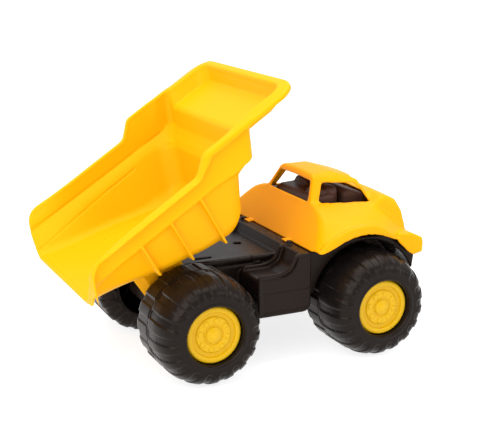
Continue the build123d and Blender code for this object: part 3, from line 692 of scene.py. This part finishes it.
def plastic(name, colour, deep, roughness, shine, reflection, grain=0.02):
    """Injection-moulded plastic: slight colour drift, fine grain, worn paler edges, uneven gloss."""
    material = bpy.data.materials.new(name)
    material.use_nodes = True
    nodes, links = material.node_tree.nodes, material.node_tree.links
    shader = nodes["Principled BSDF"]
    where = nodes.new("ShaderNodeTexCoord")
    drift = nodes.new("ShaderNodeTexNoise")
    drift.inputs["Scale"].default_value = 14.0
    drift.inputs["Detail"].default_value = 3.0
    links.new(where.outputs["Object"], drift.inputs["Vector"])
    tint = nodes.new("ShaderNodeMix")
    tint.data_type = "RGBA"
    tint.inputs["A"].default_value = (*colour, 1)
    tint.inputs["B"].default_value = (*deep, 1)
    links.new(drift.outputs["Fac"], tint.inputs["Factor"])
    edge = nodes.new("ShaderNodeNewGeometry")
    worn = nodes.new("ShaderNodeMapRange")
    worn.inputs["From Min"].default_value = 0.52
    worn.inputs["From Max"].default_value = 0.62
    worn.inputs["To Max"].default_value = 0.22
    links.new(edge.outputs["Pointiness"], worn.inputs["Value"])
    pale = nodes.new("ShaderNodeMix")
    pale.data_type = "RGBA"
    pale.inputs["B"].default_value = (*[min(1.0, c * 1.25 + 0.02) for c in colour], 1)
    links.new(worn.outputs["Result"], pale.inputs["Factor"])
    links.new(tint.outputs["Result"], pale.inputs["A"])
    links.new(pale.outputs["Result"], shader.inputs["Base Color"])
    gloss = nodes.new("ShaderNodeTexNoise")
    gloss.inputs["Scale"].default_value = 60.0
    gloss.inputs["Detail"].default_value = 4.0
    links.new(where.outputs["Object"], gloss.inputs["Vector"])
    rough = nodes.new("ShaderNodeMapRange")
    rough.inputs["To Min"].default_value = roughness - 0.05
    rough.inputs["To Max"].default_value = roughness + 0.05
    links.new(gloss.outputs["Fac"], rough.inputs["Value"])
    links.new(rough.outputs["Result"], shader.inputs["Roughness"])
    fine = nodes.new("ShaderNodeTexNoise")
    fine.inputs["Scale"].default_value = 900.0
    fine.inputs["Detail"].default_value = 2.0
    links.new(where.outputs["Object"], fine.inputs["Vector"])
    bump = nodes.new("ShaderNodeBump")
    bump.inputs["Strength"].default_value = grain
    bump.inputs["Distance"].default_value = 0.0004
    links.new(fine.outputs["Fac"], bump.inputs["Height"])
    links.new(bump.outputs["Normal"], shader.inputs["Normal"])
    shader.inputs["Specular IOR Level"].default_value = shine
    # Specular tint colours the highlights; on the black parts it is a painted reflection of the yellow plastic nearby.
    shader.inputs["Specular Tint"].default_value = (*reflection, 1)
    return material


def steel():
    material = bpy.data.materials.new("steel_looks")
    material.use_nodes = True
    nodes, links = material.node_tree.nodes, material.node_tree.links
    shader = nodes["Principled BSDF"]
    shader.inputs["Metallic"].default_value = 1.0
    where = nodes.new("ShaderNodeTexCoord")
    stretch = nodes.new("ShaderNodeMapping")
    stretch.inputs["Scale"].default_value = (900.0, 40.0, 900.0)
    streaks = nodes.new("ShaderNodeTexNoise")
    streaks.inputs["Detail"].default_value = 3.0
    links.new(where.outputs["Object"], stretch.inputs["Vector"])
    links.new(stretch.outputs["Vector"], streaks.inputs["Vector"])
    ramp = nodes.new("ShaderNodeValToRGB")
    ramp.color_ramp.elements[0].color = (0.42, 0.42, 0.43, 1)
    ramp.color_ramp.elements[1].color = (0.66, 0.66, 0.67, 1)
    links.new(streaks.outputs["Fac"], ramp.inputs["Fac"])
    links.new(ramp.outputs["Color"], shader.inputs["Base Color"])
    rough = nodes.new("ShaderNodeMapRange")
    rough.inputs["To Min"].default_value = 0.22
    rough.inputs["To Max"].default_value = 0.42
    links.new(streaks.outputs["Fac"], rough.inputs["Value"])
    links.new(rough.outputs["Result"], shader.inputs["Roughness"])
    return material


WARM = (1.0, 0.84, 0.62)
# Specular tint of the black parts: a painted brownish reflection of the yellow bed and cab around them.
PAINTED_YELLOW_REFLECTION = (1.0, 0.82, 0.70)
YELLOW = plastic("bed_plastic", (0.88, 0.415, 0.002), (0.88, 0.395, 0.002), 0.40, 0.08, WARM)
CAB_YELLOW = plastic("cab_plastic", (0.88, 0.385, 0.002), (0.88, 0.365, 0.002), 0.36, 0.09, WARM)
HUB_YELLOW = plastic("hub_plastic", (0.66, 0.39, 0.003), (0.64, 0.37, 0.003), 0.25, 0.30, WARM)
BLACK = plastic("chassis_plastic", (0.0100, 0.0062, 0.0048), (0.0072, 0.0045, 0.0036), 0.28, 0.15, PAINTED_YELLOW_REFLECTION)
TYRE_BLACK = plastic("tyre_plastic", (0.0090, 0.0070, 0.0062), (0.0065, 0.0050, 0.0046), 0.28, 0.15, PAINTED_YELLOW_REFLECTION)
INTERIOR = plastic("interior_plastic", (0.060, 0.028, 0.020), (0.050, 0.023, 0.016), 0.34, 0.15, PAINTED_YELLOW_REFLECTION)
STEEL = steel()


def paint(obj, material):
    obj.data.materials.clear()
    obj.data.materials.append(material)


def build():
    bed = make_bed()
    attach(bed, "dump_bed")
    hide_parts("dump_bed")
    paint(bed, YELLOW)
    cab = make_cab()
    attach(cab, "chassis")
    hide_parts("cab")
    paint(cab, CAB_YELLOW)
    for piece, part in make_wheels():
        paint(piece, TYRE_BLACK if part == "tyre" else HUB_YELLOW)
    for piece, name, slot, looks in ((make_chassis(), "chassis", "chassis_black", BLACK),
                                     (make_interior(), "cab_interior", "interior_black", INTERIOR)):
        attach(piece, "chassis")
        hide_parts(name)
        paint(piece, looks)
    for node in frame["nodes"].values():
        if not node.hide_render:
            for slot in node.material_slots:
                slot.material = STEEL


build()

# ---------------------------------------------------------------- studio


def make_floor():
    size = 6.0
    mesh = bpy.data.meshes.new("floor")
    mesh.from_pydata([(-size, -size, 0), (size, -size, 0), (size, size, 0), (-size, size, 0)], [], [(0, 1, 2, 3)])
    floor = bpy.data.objects.new("floor", mesh)
    bpy.context.scene.collection.objects.link(floor)
    material = bpy.data.materials.new("floor_looks")
    material.use_nodes = True
    shader = material.node_tree.nodes["Principled BSDF"]
    shader.inputs["Base Color"].default_value = (0.45, 0.45, 0.45, 1)
    shader.inputs["Roughness"].default_value = 0.6
    shader.inputs["Specular IOR Level"].default_value = 0.1
    shader.inputs["Emission Color"].default_value = (1, 1, 1, 1)
    shader.inputs["Emission Strength"].default_value = 0.8
    mesh.materials.append(material)


def make_light(name, place, aim, size, power, colour=(1, 1, 1)):
    data = bpy.data.lights.new(name, "AREA")
    data.shape = "RECTANGLE"
    data.size, data.size_y = size
    data.energy = power
    data.color = colour
    lamp = bpy.data.objects.new(name, data)
    bpy.context.scene.collection.objects.link(lamp)
    lamp.location = place
    lamp.rotation_mode = "QUATERNION"
    lamp.rotation_quaternion = (Vector(aim) - Vector(place)).to_track_quat("-Z", "Y")


def make_world(strength):
    world = bpy.data.worlds.new("studio")
    world.use_nodes = True
    world.node_tree.nodes["Background"].inputs["Color"].default_value = (1.0, 1.0, 1.0, 1)
    world.node_tree.nodes["Background"].inputs["Strength"].default_value = strength
    bpy.context.scene.world = world


def make_camera():
    data = bpy.data.cameras.new("camera")
    data.lens = 80.6
    data.sensor_width = 36.0
    data.clip_start, data.clip_end = 0.05, 30.0
    camera = bpy.data.objects.new("camera", data)
    bpy.context.scene.collection.objects.link(camera)
    camera.location = (-0.4328, -0.9565, 0.3936)
    camera.rotation_mode = "QUATERNION"
    camera.rotation_quaternion = Vector((0.420, 0.873, -0.248)).to_track_quat("-Z", "Y")
    bpy.context.scene.camera = camera


make_floor()
make_light("key", (-1.3, -1.1, 1.2), (0, 0, 0.12), (1.6, 1.6), 24.0)
make_light("fill", (1.4, -1.3, 1.0), (0, 0, 0.1), (1.5, 1.2), 12.0)
make_light("top", (0.0, 0.2, 2.0), (0, 0, 0.1), (2.4, 1.8), 38.0)
make_world(0.68)
make_camera()
scene = bpy.context.scene
scene.view_settings.view_transform = "Standard"
